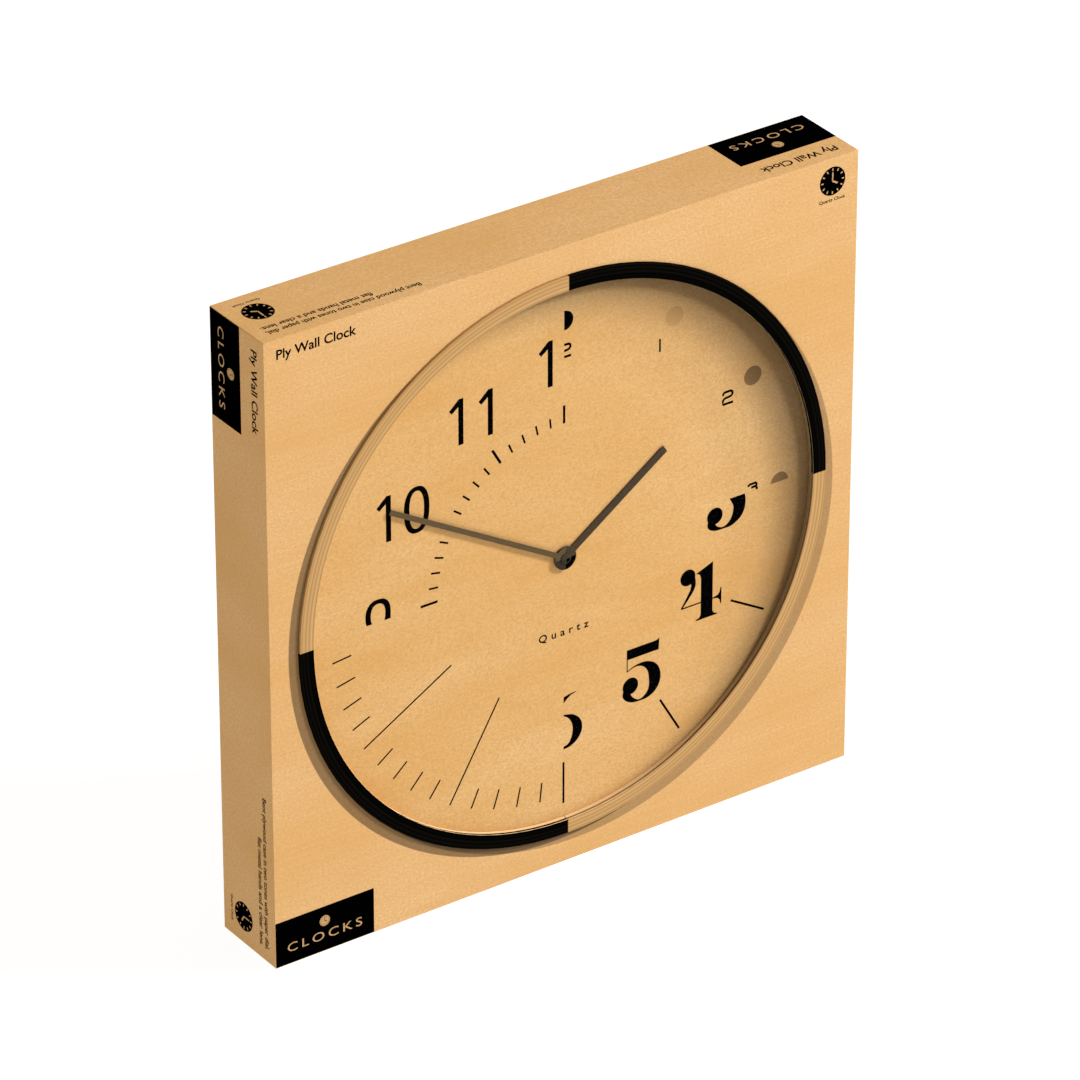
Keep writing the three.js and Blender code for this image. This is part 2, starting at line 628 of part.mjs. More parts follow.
const COIL_X = [-24.5, -5.5];
const COIL_Z = 1.6;
const COIL_Y = 11.5;
const COIL_FLANGE = 3.4;
const COIL_CORE = 1.2;
const COIL_OUTER = 3.1;

// A rod along X, for the coil and the battery.
function lengthwise(profile, segments, y, z) {
  const points = profile.map(([r, along]) => new THREE.Vector2(r, along));
  const geometry = new THREE.LatheGeometry(points, segments).rotateZ(-Math.PI / 2).translate(0, y, z);
  const made = solid(geometry);
  return made.volume() > 0 ? made : lengthwise([...profile].reverse(), segments, y, z);
}

function coilBobbin() {
  const [left, right] = COIL_X;
  const profile = [
    [0, left - 1],
    [COIL_FLANGE, left - 1],
    [COIL_FLANGE, left],
    [COIL_CORE, left],
    [COIL_CORE, right],
    [COIL_FLANGE, right],
    [COIL_FLANGE, right + 1],
    [0, right + 1],
  ];
  return lengthwise(profile, 20, COIL_Y, COIL_Z);
}

function coilWinding() {
  const [left, right] = [COIL_X[0] + GAP, COIL_X[1] - GAP];
  const inner = COIL_CORE + GAP;
  const profile = [[inner, left], [COIL_OUTER, left], [COIL_OUTER, right], [inner, right], [inner, left]];
  return lengthwise(profile, 20, COIL_Y, COIL_Z);
}

const BOARD_Y = [11.4, 12.4];
const BOARD_X = [2.5, 27];
const BOARD_Z = [-15.5, -6.5];
const CHIP_RADIUS = 2.4;
const CHIP_AT = [8, -11];
const CRYSTAL_X = [15, 21];
const COMPONENT_BACK = BOARD_Y[1] + 1.3;

// The cell's spring: a helix along X that stands against the flat end of the cell.
const SPRING_TURNS = 3;
const SPRING_LEFT = -27.4;
const SPRING_LENGTH = 2.4;
const SPRING_WIRE_RADIUS = 0.3;

class SpringPath extends THREE.Curve {
  getPoint(t, target = new THREE.Vector3()) {
    const angle = t * 2 * Math.PI * SPRING_TURNS;
    const radius = 3.4 - 1.4 * t;
    const x = SPRING_LEFT + SPRING_LENGTH * t;
    return target.set(x, CELL_DEPTH + radius * Math.cos(angle), CELL_HEIGHT + radius * Math.sin(angle));
  }
}

function batterySpring() {
  const wire = hexagon(SPRING_WIRE_RADIUS).map(([a, b]) => new THREE.Vector2(a, b));
  const settings = { steps: 36, extrudePath: new SpringPath(), bevelEnabled: false };
  return solid(new THREE.ExtrudeGeometry(new THREE.Shape(wire), settings));
}

const CELL_LEFT = -24.2;
const CELL_RIGHT = CELL_LEFT + CELL_LENGTH;
const CELL_EDGE = 0.4;
const BUTTON_RADIUS = 2.7;
const BUTTON_HEIGHT = 1.2;
const CONTACT_X = [26.9, 27.4];
const CONTACT_HALF_HEIGHT = 5;

// An AA cell, its raised end to the right.
function batteryCell() {
  const profile = [
    [0, CELL_LEFT],
    [CELL_RADIUS - CELL_EDGE, CELL_LEFT],
    [CELL_RADIUS, CELL_LEFT + CELL_EDGE],
    [CELL_RADIUS, CELL_RIGHT - CELL_EDGE],
    [CELL_RADIUS - CELL_EDGE, CELL_RIGHT],
    [BUTTON_RADIUS, CELL_RIGHT],
    [BUTTON_RADIUS, CELL_RIGHT + BUTTON_HEIGHT],
    [0, CELL_RIGHT + BUTTON_HEIGHT],
  ];
  return lengthwise(profile, 32, CELL_DEPTH, CELL_HEIGHT);
}

function batteryContact() {
  const heights = [CELL_HEIGHT - CONTACT_HALF_HEIGHT, CELL_HEIGHT + CONTACT_HALF_HEIGHT];
  return block(CONTACT_X, [HOUSING_INSIDE + 2, HOUSING_BACK - 1], heights);
}

function quartzCrystal() {
  const [left, right] = CRYSTAL_X;
  return lengthwise([[0, left], [1, left], [1, right], [0, right]], 14, COMPONENT_BACK, CHIP_AT[1]);
}

const chip = rod(CHIP_RADIUS, BOARD_Y[1] + GAP, COMPONENT_BACK, CHIP_AT, 20);
put(movement, "stator", "steel", stator());
put(movement, "coil_bobbin", "white_plastic", coilBobbin());
put(movement, "coil_winding", "copper", coilWinding());
put(movement, "circuit_board", "circuit", block(BOARD_X, BOARD_Y, BOARD_Z));
put(movement, "clock_chip", "black_plastic", chip);
put(movement, "quartz_crystal", "steel", quartzCrystal());
put(movement, "battery_spring", "steel", batterySpring());
put(movement, "battery_contact", "steel", batteryContact());
put(movement, "battery_cell", "cell", batteryCell());

export default root;
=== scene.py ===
"""A boxed wall clock: kraft lid and tray, bent-ply clock seen through the lid's round window."""

import json
import math

import bmesh
import bpy
from mathutils import Matrix, Vector

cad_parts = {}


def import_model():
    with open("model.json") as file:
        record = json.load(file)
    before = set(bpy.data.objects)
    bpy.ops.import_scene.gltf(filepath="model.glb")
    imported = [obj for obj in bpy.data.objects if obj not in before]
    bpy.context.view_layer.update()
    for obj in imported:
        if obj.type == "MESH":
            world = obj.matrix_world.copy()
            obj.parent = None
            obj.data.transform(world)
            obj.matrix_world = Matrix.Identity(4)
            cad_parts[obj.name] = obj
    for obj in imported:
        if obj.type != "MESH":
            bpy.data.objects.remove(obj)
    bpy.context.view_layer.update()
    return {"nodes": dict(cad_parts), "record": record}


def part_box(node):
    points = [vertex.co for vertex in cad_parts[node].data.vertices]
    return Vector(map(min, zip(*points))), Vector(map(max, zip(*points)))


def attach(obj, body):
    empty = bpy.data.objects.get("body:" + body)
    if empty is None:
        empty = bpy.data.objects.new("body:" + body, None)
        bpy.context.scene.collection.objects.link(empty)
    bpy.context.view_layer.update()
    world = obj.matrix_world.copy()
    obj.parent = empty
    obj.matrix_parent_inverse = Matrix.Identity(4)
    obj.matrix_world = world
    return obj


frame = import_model()
nodes = frame["nodes"]

MM = 0.001
spindle = (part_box("dial_plate")[0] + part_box("dial_plate")[1]) / 2

# ---------------------------------------------------------------- camera
CAMERA_PLACE = (-2.6498, -3.7866, 2.9139)
CAMERA_YAW = math.radians(34.976)
CAMERA_PITCH = math.radians(-29.964)
CAMERA_LENS = 252.8
SENSOR = 36.0


def make_camera():
    data = bpy.data.cameras.new("camera")
    data.lens = CAMERA_LENS
    data.sensor_width = SENSOR
    data.clip_end = 60
    camera = bpy.data.objects.new("camera", data)
    camera.location = CAMERA_PLACE
    camera.rotation_euler = (math.pi / 2 + CAMERA_PITCH, 0, -CAMERA_YAW)
    bpy.context.scene.collection.objects.link(camera)
    bpy.context.scene.camera = camera


make_camera()


# ---------------------------------------------------------------- materials
def rgb(red, green, blue):
    """An sRGB colour, 0 to 255, as a linear colour with alpha."""

    def linear(value):
        c = value / 255
        return c / 12.92 if c <= 0.04045 else ((c + 0.055) / 1.055) ** 2.4

    return (linear(red), linear(green), linear(blue), 1.0)


class Surface:
    """A Principled material, and the nodes that feed it."""

    def __init__(self, name, colour, roughness, metallic=0.0, **sockets):
        self.material = bpy.data.materials.new(name)
        self.material.use_nodes = True
        self.tree = self.material.node_tree
        self.shader = self.tree.nodes["Principled BSDF"]
        self.set("Base Color", colour)
        self.set("Roughness", roughness)
        self.set("Metallic", metallic)
        for socket, value in sockets.items():
            self.set(socket.replace("_", " "), value)
        self.normal = None

    def set(self, socket, value):
        self.shader.inputs[socket].default_value = value

    def node(self, kind, inputs=(), **settings):
        made = self.tree.nodes.new(kind)
        for key, value in settings.items():
            setattr(made, key, value)
        for socket, value in dict(inputs).items():
            if isinstance(value, bpy.types.NodeSocket):
                self.tree.links.new(value, made.inputs[socket])
            else:
                made.inputs[socket].default_value = value
        return made

    def place(self, scale=(1, 1, 1), offset=(0, 0, 0)):
        """Object coordinates, in metres, stretched by scale."""
        source = self.node("ShaderNodeTexCoord").outputs["Object"]
        inputs = {"Vector": source, "Scale": scale, "Location": offset}
        return self.node("ShaderNodeMapping", inputs).outputs["Vector"]

    def radius(self, across, up, flat=(1, 0, 1)):
        """Distance, in the plane that flat keeps, from the point (across, up) of that plane."""
        centre = (across, 0, up) if flat[2] else (across, up, 0)
        inputs = {0: self.place(flat), 1: centre}
        return self.node("ShaderNodeVectorMath", inputs, operation="DISTANCE").outputs["Value"]

    def shade(self, colour, shades, height, flat):
        """Painted shade round the dial's centre, which is at height in the plane that flat keeps:
        shadows of the case, painted into the colour.

        A shade is (dark, angle, offset, start, end) in degrees and millimetres. Its circles are moved
        by offset towards angle, clockwise from twelve. It darkens by dark at start and not at end.
        """
        for dark, angle, offset, start, end in shades:
            a = math.radians(angle)
            across, up = offset * MM * math.sin(a), height + offset * MM * math.cos(a)
            share = self.ease(self.radius(across, up, flat), start * MM, end * MM, dark, 0)
            colour = self.mix(share, colour, (0, 0, 0, 1))
        return colour

    def noise(self, scale, detail=3.0, stretch=(1, 1, 1), rough=0.55, offset=(0, 0, 0)):
        inputs = {
            "Vector": self.place(stretch, offset),
            "Scale": scale,
            "Detail": detail,
            "Roughness": rough,
        }
        return self.node("ShaderNodeTexNoise", inputs).outputs["Fac"]

    def math(self, operation, first, second=0.0):
        return self.node("ShaderNodeMath", {0: first, 1: second}, operation=operation).outputs[0]

    def spread(self, value, low, high, to_low=0.0, to_high=1.0):
        inputs = {"Value": value, 1: low, 2: high, 3: to_low, 4: to_high}
        return self.node("ShaderNodeMapRange", inputs).outputs["Result"]

    def ease(self, value, low, high, to_low=0.0, to_high=1.0):
        inputs = {"Value": value, 1: low, 2: high, 3: to_low, 4: to_high}
        made = self.node("ShaderNodeMapRange", inputs, interpolation_type="SMOOTHSTEP")
        return made.outputs["Result"]

    def mix(self, share, first, second, blend="MIX"):
        inputs = {0: share, 6: first, 7: second}
        made = self.node("ShaderNodeMix", inputs, data_type="RGBA", blend_type=blend)
        return made.outputs[2]

    def colour(self, value):
        self.tree.links.new(value, self.shader.inputs["Base Color"])

    def roughness(self, value, low, high):
        made = self.spread(value, 0.3, 0.7, low, high)
        self.tree.links.new(made, self.shader.inputs["Roughness"])

    def bump(self, height, depth, strength=1.0):
        """Relief of that depth in metres; each call adds to the one before."""
        inputs = {"Height": height, "Distance": depth, "Strength": strength}
        if self.normal:
            inputs["Normal"] = self.normal
        self.normal = self.node("ShaderNodeBump", inputs).outputs["Normal"]
        self.tree.links.new(self.normal, self.shader.inputs["Normal"])


def shaded(colour, factor):
    return tuple(c * factor for c in colour[:3]) + (1.0,)


def kraft(name, base, blotch, streak=0.32, fibre=0.85, shades=()):
    """Uncoated board: soft blotches, fine streaks along X, short fibres, and painted shade from
    shades.
    """
    made = Surface(name, base, 0.82, Specular_IOR_Level=0.25)
    clouds = made.spread(made.noise(7.5, 3.0, rough=0.62, stretch=(0.6, 1, 1.9)), 0.37, 0.65)
    colour = made.mix(clouds, base, blotch)
    grain = made.noise(1.0, 3.0, stretch=(20, 620, 620), rough=0.65)
    colour = made.mix(made.spread(grain, 0.36, 0.66, 0, streak), colour, shaded(blotch, 0.8))
    pale = made.noise(1.0, 2.0, stretch=(14, 480, 480), offset=(8, 4, 1))
    colour = made.mix(made.spread(pale, 0.5, 0.7, 0, 0.6 * streak), colour, shaded(base, 1.16))
    mottle = made.noise(1.0, 2.0, stretch=(430, 560, 640), rough=0.75, offset=(1, 9, 2))
    colour = made.mix(made.spread(mottle, 0.34, 0.7, 0, fibre), colour, shaded(blotch, 0.74))
    speck = made.noise(1.0, 3.0, stretch=(1100, 1500, 1700), rough=0.7, offset=(3, 5, 7))
    colour = made.mix(made.spread(speck, 0.35, 0.75, 0, fibre), colour, shaded(blotch, 0.8))
    flecks = made.noise(1.0, 1.0, stretch=(420, 900, 900), offset=(11, 2, 9))
    colour = made.mix(made.spread(flecks, 0.76, 0.8, 0, 0.5), colour, shaded(blotch, 0.55))
    # painted shade: the case's shadows, where shades are given
    made.colour(made.shade(colour, shades, spindle.z, (1, 0, 1)))
    made.roughness(speck, 0.74, 0.9)
    made.bump(speck, 0.00006, 0.6)
    made.bump(grain, 0.00005, 0.5)
    return made.material


KRAFT_LIGHT = rgb(241, 198, 144)
KRAFT_BLOTCH = rgb(230, 177, 108)
CASE_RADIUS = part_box("case_quadrant_12_to_3")[1].x / MM
# painted shadow: bands that the case casts on the lid just outside the window
LID_SHADES = [
    (0.64, 243, 10.0, CASE_RADIUS - 0.8, CASE_RADIUS),
    (0.42, 137, 11.3, CASE_RADIUS - 0.8, CASE_RADIUS),
]
# painted shadow that the case's rim casts on the dial, on its bare wall and on its dots
DIAL_SHADES = [(0.64, 244, 40, 245, 201), (0.11, 250, 78, 244, 196)]
kraft_board = kraft("kraft_board", KRAFT_LIGHT, KRAFT_BLOTCH)
# the lid's board, with the painted shadow bands of LID_SHADES
kraft_painted_shadow = kraft("kraft_painted_shadow", KRAFT_LIGHT, KRAFT_BLOTCH, shades=LID_SHADES)
# the dial paper carries the painted shadow of DIAL_SHADES
dial_paper = kraft(
    "dial_paper", rgb(244, 202, 141), rgb(234, 178, 104), streak=0.12, fibre=0.75, shades=DIAL_SHADES
)
kraft_ink = kraft("kraft_ink", rgb(214, 172, 118), rgb(200, 156, 100))


def ink(name, colour, shades=()):
    """Printing ink that has sunk a little into the board's fibres, darkened by any painted shade in
    shades.
    """
    made = Surface(name, colour, 0.7, Specular_IOR_Level=0.0)
    fibres = made.noise(1500, 3.0)
    sunk = made.mix(made.spread(fibres, 0.45, 0.75, 0, 0.25), colour, shaded(colour, 1.6))
    # painted shade, where shades are given
    made.colour(made.shade(sunk, shades, 0, (1, 1, 0)))
    made.roughness(fibres, 0.62, 0.8)
    made.bump(fibres, 0.00003, 0.5)
    return made.material


black_ink = ink("black_ink", rgb(1, 1, 1))
# these dots take the dial's painted shadow
faint_ink = ink("faint_ink", rgb(206, 162, 104), DIAL_SHADES)
brown_ink = ink("brown_ink", rgb(146, 114, 76), DIAL_SHADES)

VENEER = 3.0  # thickness, in mm
VENEER_OFFSET = 2.0  # a glue line lies this far from the axis, and every VENEER from there
SIGHT_EDGE = CASE_RADIUS - 11.15  # inside it the case's wall is bare
BARE = rgb(238, 202, 150)


def ply(name, colour, veneer, glue, gloss, bare=None, shades=()):
    """Bent ply: concentric veneers and glue lines on the end grain, pores along the case.

    Where bare is given, the wall inside the sight edge keeps that colour, under the painted shade of
    shades.
    """
    made = Surface(name, colour, gloss, Specular_IOR_Level=0.004)
    radius = made.radius(0, spindle.z)
    wobble = made.math("MULTIPLY", made.noise(9, 2.0), 0.0005)
    from_first = made.math("SUBTRACT", made.math("ADD", radius, wobble), VENEER_OFFSET * MM)
    layers = made.math("DIVIDE", from_first, VENEER * MM)
    saw = made.math("PINGPONG", layers, 0.5)
    veneers = {"W": made.math("FLOOR", layers)}
    chance = made.node("ShaderNodeTexWhiteNoise", veneers, noise_dimensions="1D")
    pores = made.noise(1.0, 3.0, stretch=(700, 240, 700), rough=0.7)
    tinted = made.mix(made.spread(chance.outputs["Value"], 0.1, 0.9), colour, veneer)
    porous = made.mix(made.spread(pores, 0.4, 0.75, 0, 0.3), tinted, shaded(veneer, 0.8))
    lined = made.mix(made.ease(saw, 0.0, 0.3, 1, 0), porous, glue)
    if bare:
        # painted shade on the bare wall, running on from the dial's painted shadow
        wall = made.shade(bare, shades, spindle.z, (1, 0, 1))
        lined = made.mix(made.math("LESS_THAN", radius, SIGHT_EDGE * MM), lined, wall)
    made.colour(lined)
    made.roughness(pores, gloss - 0.08, gloss + 0.1)
    made.bump(saw, 0.00012, 0.5)
    made.bump(pores, 0.00006, 0.6)
    return made.material


# both case tones' bare inner walls take the dial's painted shadow
pale_ply = ply(
    "pale_ply", rgb(202, 161, 107), rgb(194, 152, 98), rgb(172, 132, 82), 0.55, BARE, DIAL_SHADES
)
black_ply = ply(
    "black_ply", rgb(3, 3, 2), rgb(15, 13, 9), rgb(0, 0, 0), 0.6, BARE, DIAL_SHADES
)
liner_ply = ply("liner_ply", rgb(216, 178, 122), rgb(206, 166, 112), rgb(160, 122, 78), 0.55)


def pulp():
    """Moulded paper pulp: lumpy, with long fibres."""
    made = Surface("moulded_pulp", rgb(176, 152, 120), 0.9, Specular_IOR_Level=0.2)
    lumps = made.noise(160, 4.0, rough=0.7)
    fibres = made.noise(1.0, 3.0, stretch=(300, 2200, 1200))
    colour = made.mix(made.spread(lumps, 0.35, 0.7), rgb(186, 162, 128), rgb(152, 128, 98))
    made.colour(made.mix(made.spread(fibres, 0.5, 0.72, 0, 0.5), colour, rgb(110, 90, 68)))
    made.bump(lumps, 0.0006, 0.8)
    made.bump(fibres, 0.0002, 0.7)
    return made.material


def moulded(name, colour, roughness, grain=0.00004):
    """Injection-moulded plastic with a fine spark-eroded grain."""
    made = Surface(name, colour, roughness)
    cells = made.noise(2600, 2.0)
    flow = made.noise(60, 2.0)
    made.colour(made.mix(made.spread(flow, 0.35, 0.65, 0, 0.4), colour, shaded(colour, 0.88)))
    made.roughness(cells, roughness - 0.07, roughness + 0.09)
    made.bump(cells, grain, 0.6)
    return made.material


def metal(name, colour, roughness, stretch=(40, 2200, 2200), metallic=1.0):
    """Brushed or turned metal, its scratches running along the short axis of stretch."""
    made = Surface(name, colour, roughness, metallic)
    brush = made.noise(1.0, 3.0, stretch=stretch, rough=0.6)
    patina = made.noise(45, 2.0)
    made.colour(made.mix(made.spread(patina, 0.35, 0.7, 0, 0.5), colour, shaded(colour, 0.8)))
    made.roughness(brush, roughness - 0.08, roughness + 0.12)
    made.bump(brush, 0.00003, 0.5)
    return made.material


def glass():
    made = Surface("clear_glass", rgb(24, 27, 26), 0.03, Specular_IOR_Level=0.12)
    made.set("Alpha", 0.025)
    smears = made.noise(24, 3.0)
    made.roughness(smears, 0.02, 0.07)
    return made.material


def wound_copper():
    """Enamelled wire: a turn every tenth of a millimetre along the coil."""
    made = Surface("copper_wire", rgb(176, 92, 44), 0.32, 0.9)
    split = made.node("ShaderNodeSeparateXYZ", {0: made.place()})
    turns = made.math("PINGPONG", made.math("MULTIPLY", split.outputs["X"], 5200), 0.5)
    made.colour(made.mix(made.spread(turns, 0.0, 0.3), rgb(96, 44, 20), rgb(190, 104, 52)))
    made.bump(turns, 0.00012, 0.8)
    return made.material


def cell_sleeve():
    """A plain two-tone sleeve: a dark body and a copper-coloured band at the raised end."""
    low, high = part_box("battery_cell")
    made = Surface("cell_sleeve", rgb(30, 34, 40), 0.28, Coat_Weight=0.5, Coat_Roughness=0.15)
    split = made.node("ShaderNodeSeparateXYZ", {0: made.place()})
    share = made.spread(split.outputs["X"], low.x, high.x)
    band = made.math("GREATER_THAN", share, 0.72)
    tip = made.math("GREATER_THAN", share, 0.972)
    end = made.math("LESS_THAN", share, 0.006)
    scuffs = made.spread(made.noise(300, 3.0), 0.5, 0.8, 0, 0.35)
    body = made.mix(scuffs, rgb(30, 34, 40), rgb(66, 70, 76))
    colour = made.mix(band, body, rgb(178, 110, 58))
    colour = made.mix(made.math("MAXIMUM", tip, end), colour, rgb(190, 190, 188))
    made.colour(colour)
    return made.material


def painted(name, colour):
    """Thin sprayed paint on metal."""
    made = Surface(name, colour, 0.6, Specular_IOR_Level=0.12)
    peel = made.noise(900, 3.0)
    cover = made.noise(120, 3.0)
    made.colour(made.mix(made.spread(cover, 0.35, 0.7, 0, 0.5), colour, shaded(colour, 0.82)))
    made.roughness(peel, 0.52, 0.7)
    made.bump(peel, 0.00003, 0.5)
    return made.material


hand_paint = painted("hand_paint", rgb(97, 79, 51))
hour_hand_paint = painted("hour_hand_paint", rgb(70, 57, 39))
# a darker brown: painted shade on the lower-left quarter of the hub and of the cap
hub_shade_paint = painted("hub_shade_paint", rgb(50, 42, 29))
materials = {
    "kraft_board": kraft_board,
    "moulded_pulp": pulp(),
    "pale_ply": pale_ply,
    "black_ply": black_ply,
    "liner_ply": liner_ply,
    "dial_board": dial_paper,
    "clear_glass": glass(),
    "dark_metal": hand_paint,
    "steel": metal("steel", rgb(186, 188, 190), 0.3),
    "brass": metal("brass", rgb(206, 168, 92), 0.27, stretch=(2200, 60, 2200)),
    "copper_wire": wound_copper(),
    "white_plastic": moulded("white_plastic", rgb(232, 230, 222), 0.42),
    "black_plastic": moulded("black_plastic", rgb(30, 30, 32), 0.46),
    "circuit_laminate": moulded("circuit_laminate", rgb(40, 104, 58), 0.35),
    "rubber": moulded("rubber", rgb(32, 31, 30), 0.72, grain=0.00012),
    "cell_sleeve": cell_sleeve(),
}
slot_of = {part["node"]: part["material_slot"] for part in frame["record"]["subparts"]}

# ---------------------------------------------------------------- the CAD nodes' finish
# bevel widths, in mm
EDGE_WIDTHS = {"box_lid": 0.5, "box_tray": 0.5, "dial_plate": 0.15, "glass_lens": 0.25}
QUADRANT_EDGE = 0.22
SMALL_EDGE = 0.12


def soften(node, width):
    """Merges the CAD node's loose triangles and rounds its edges, without touching its vertices."""
    mesh = node.data
    if "custom_normal" in mesh.attributes:
        mesh.attributes.remove(mesh.attributes["custom_normal"])
    for polygon in mesh.polygons:
        polygon.use_smooth = True
    weld = node.modifiers.new("weld", "WELD")
    weld.merge_threshold = 0.005 * MM
    bevel = node.modifiers.new("edges", "BEVEL")
    bevel.width = width * MM
    bevel.segments = 2
    bevel.limit_method = "ANGLE"
    bevel.angle_limit = math.radians(32)
    even = node.modifiers.new("normals", "WEIGHTED_NORMAL")
    even.keep_sharp = True


# the lid takes the board with the painted shadow bands round the window
own_finish = {"box_lid": kraft_painted_shadow, "hour_hand": hour_hand_paint, "centre_cap": hour_hand_paint}
for name, node in nodes.items():
    finish = own_finish.get(name, materials[slot_of[name]])
    node.data.materials.clear()
    node.data.materials.append(finish)
    quadrant = name.startswith("case_quadrant")
    soften(node, QUADRANT_EDGE if quadrant else EDGE_WIDTHS.get(name, SMALL_EDGE))


# ---------------------------------------------------------------- flat print
PRINT_THICKNESS = 0.04 * MM
# of Blender's built-in font, at size 1: the height of a capital, and how far outlines are swelled
CAP_HEIGHT = 0.682
TITLE_BOLD = 0.018
SMALL_BOLD = 0.02


class Face:
    """A flat face of the object, with its own right and up, that takes print in millimetres."""

    def __init__(self, origin, right, up, body):
        out = Vector(right).cross(Vector(up))
        columns = [Vector(right), Vector(up), out]
        self.matrix = Matrix.Translation(origin) @ Matrix(columns).transposed().to_4x4()
        self.body = body

    def add(self, name, mesh, finish, lift=1):
        made = bpy.data.objects.new(name, mesh)
        mesh.materials.clear()
        mesh.materials.append(finish)
        raised = Matrix.Translation((0, 0, lift * PRINT_THICKNESS))
        made.matrix_world = self.matrix @ raised
        bpy.context.scene.collection.objects.link(made)
        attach(made, self.body)
        return made

    def shapes(self, name, outlines, finish, lift=1, cuts=()):
        """One piece of several flat outlines; each cut keeps what is on its side of the centre."""
        made = bmesh.new()
        for outline in outlines:
            corners = [made.verts.new((u * MM, v * MM, 0)) for u, v in outline]
            made.faces.new(corners)
        bmesh.ops.remove_doubles(made, verts=made.verts, dist=0.0005 * MM)
        for across, up in cuts:
            bmesh.ops.bisect_plane(
                made,
                geom=made.verts[:] + made.edges[:] + made.faces[:],
                plane_co=Vector((0, 0, 0)),
                plane_no=Vector((-across, -up, 0)),
                clear_outer=True,
            )
        for flat in made.faces:
            flat.normal_update()
            if flat.normal.z < 0:
                flat.normal_flip()
        skirt = bmesh.ops.extrude_face_region(made, geom=made.faces[:])
        for item in skirt["geom"]:
            if isinstance(item, bmesh.types.BMVert):
                item.co.z -= PRINT_THICKNESS
        mesh = bpy.data.meshes.new(name)
        bmesh.ops.recalc_face_normals(made, faces=made.faces)
        made.to_mesh(mesh)
        made.free()
        return self.add(name, mesh, finish, lift)

    def words(
        self, name, text, finish, left, base, width, height,
        spacing=1.0, align=0.0, lift=1, bold=0.0,
    ):
        """A line of text, width wide, with capitals height tall.

        align 0, 0.5 or 1 puts its left end, its middle or its right end at left.
        """
        curve = bpy.data.curves.new(name, "FONT")
        curve.body = text
        curve.space_character = spacing
        curve.resolution_u = 4
        curve.offset = bold
        holder = bpy.data.objects.new(name + "_curve", curve)
        bpy.context.scene.collection.objects.link(holder)
        bpy.context.view_layer.update()
        solid = holder.evaluated_get(bpy.context.evaluated_depsgraph_get())
        mesh = bpy.data.meshes.new_from_object(solid)
        bpy.data.objects.remove(holder)
        xs = [v.co.x for v in mesh.vertices]
        stretch = width * MM / (max(xs) - min(xs))
        tall = height * MM / CAP_HEIGHT
        for vertex in mesh.vertices:
            x, y, _ = vertex.co
            vertex.co = (
                (left - align * width) * MM + (x - min(xs)) * stretch,
                base * MM + y * tall,
                0,
            )
        mesh.name = name
        return self.add(name, mesh, finish, lift)


lid_low, lid_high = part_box("box_lid")
side = (lid_high.x - lid_low.x) / MM
front = Face((lid_low.x, lid_low.y, lid_low.z), (1, 0, 0), (0, 0, 1), "box_top")
top = Face((lid_high.x, lid_high.y, lid_high.z), (-1, 0, 0), (0, -1, 0), "box_top")
left_side = Face((lid_low.x, lid_high.y, lid_high.z), (0, 0, -1), (0, -1, 0), "box_top")
dial_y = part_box("dial_plate")[0].y
dial = Face((0, dial_y, spindle.z), (1, 0, 0), (0, 0, 1), "clock_case")


# ---------------------------------------------------------------- outlines
def rectangle(left, low, right, high):
    return [(left, low), (right, low), (right, high), (left, high)]


def disc(u, v, radius, points=48):
    turn = 2 * math.pi / points
    return [(u + radius * math.cos(i * turn), v + radius * math.sin(i * turn)) for i in range(points)]


def polar(angle, radius):
    """The point that far from the centre; angle is in degrees clockwise from twelve."""
    a = math.radians(angle)
    return (radius * math.sin(a), radius * math.cos(a))


def bar(angle, inner, outer, width):
    """A bar that points away from the centre, towards that angle."""
    out = Vector(polar(angle, 1))
    across = Vector((out.y, -out.x)) * width / 2
    corners = ((inner, -1), (inner, 1), (outer, 1), (outer, -1))
    return [tuple(out * r + across * s) for r, s in corners]


def along(points, share):
    """The value at share, from 0 to 1, of a smooth curve through points of any dimension."""
    last = len(points) - 1
    step = min(int(share * last), last - 1)
    t = share * last - step
    near = (points[max(0, min(last, step + k))] for k in (-1, 0, 1, 2))

    def spline(p, q, r, s):
        bend = (2 * p - 5 * q + 4 * r - s) * t * t
        twist = (3 * q - p - 3 * r + s) * t**3
        return 0.5 * (2 * q + (r - p) * t + bend + twist)

    return [spline(*values) for values in zip(*near)]


def stroke(points, width=None, smooth=True, steps=10):
    """Quads along a path of (u, v) or (u, v, width) points."""
    if smooth:
        count = (len(points) - 1) * steps
        points = [along(points, i / count) for i in range(count + 1)]
    edges = []
    for i, point in enumerate(points):
        before, after = points[max(i - 1, 0)], points[min(i + 1, len(points) - 1)]
        run = Vector((after[0] - before[0], after[1] - before[1])).normalized()
        half = (width or point[2]) / 2
        normal = Vector((-run.y, run.x)) * half
        at = Vector(point[:2])
        edges.append((tuple(at + normal), tuple(at - normal)))
    return [[a[0], a[1], b[1], b[0]] for a, b in zip(edges, edges[1:])]


def oval_ring(u, v, half_width, half_height, thick_side, thick_top, squareness=2.35, points=64):
    """A closed loop of quads between two superellipses."""

    def rim(a, b, i):
        turn = 2 * math.pi * i / points
        c, s = math.cos(turn), math.sin(turn)
        power = 2 / squareness
        return (
            u + a * math.copysign(abs(c) ** power, c),
            v + b * math.copysign(abs(s) ** power, s),
        )

    outer = [rim(half_width, half_height, i) for i in range(points + 1)]
    inner = [rim(half_width - thick_side, half_height - thick_top, i) for i in range(points + 1)]
    return [[outer[i], outer[i + 1], inner[i + 1], inner[i]] for i in range(points)]


# ---------------------------------------------------------------- dial, quarter by quarter
# cuts through the dial's centre, by the side they keep
ABOVE = (0, 1)
BELOW = (0, -1)
RIGHT = (1, 0)

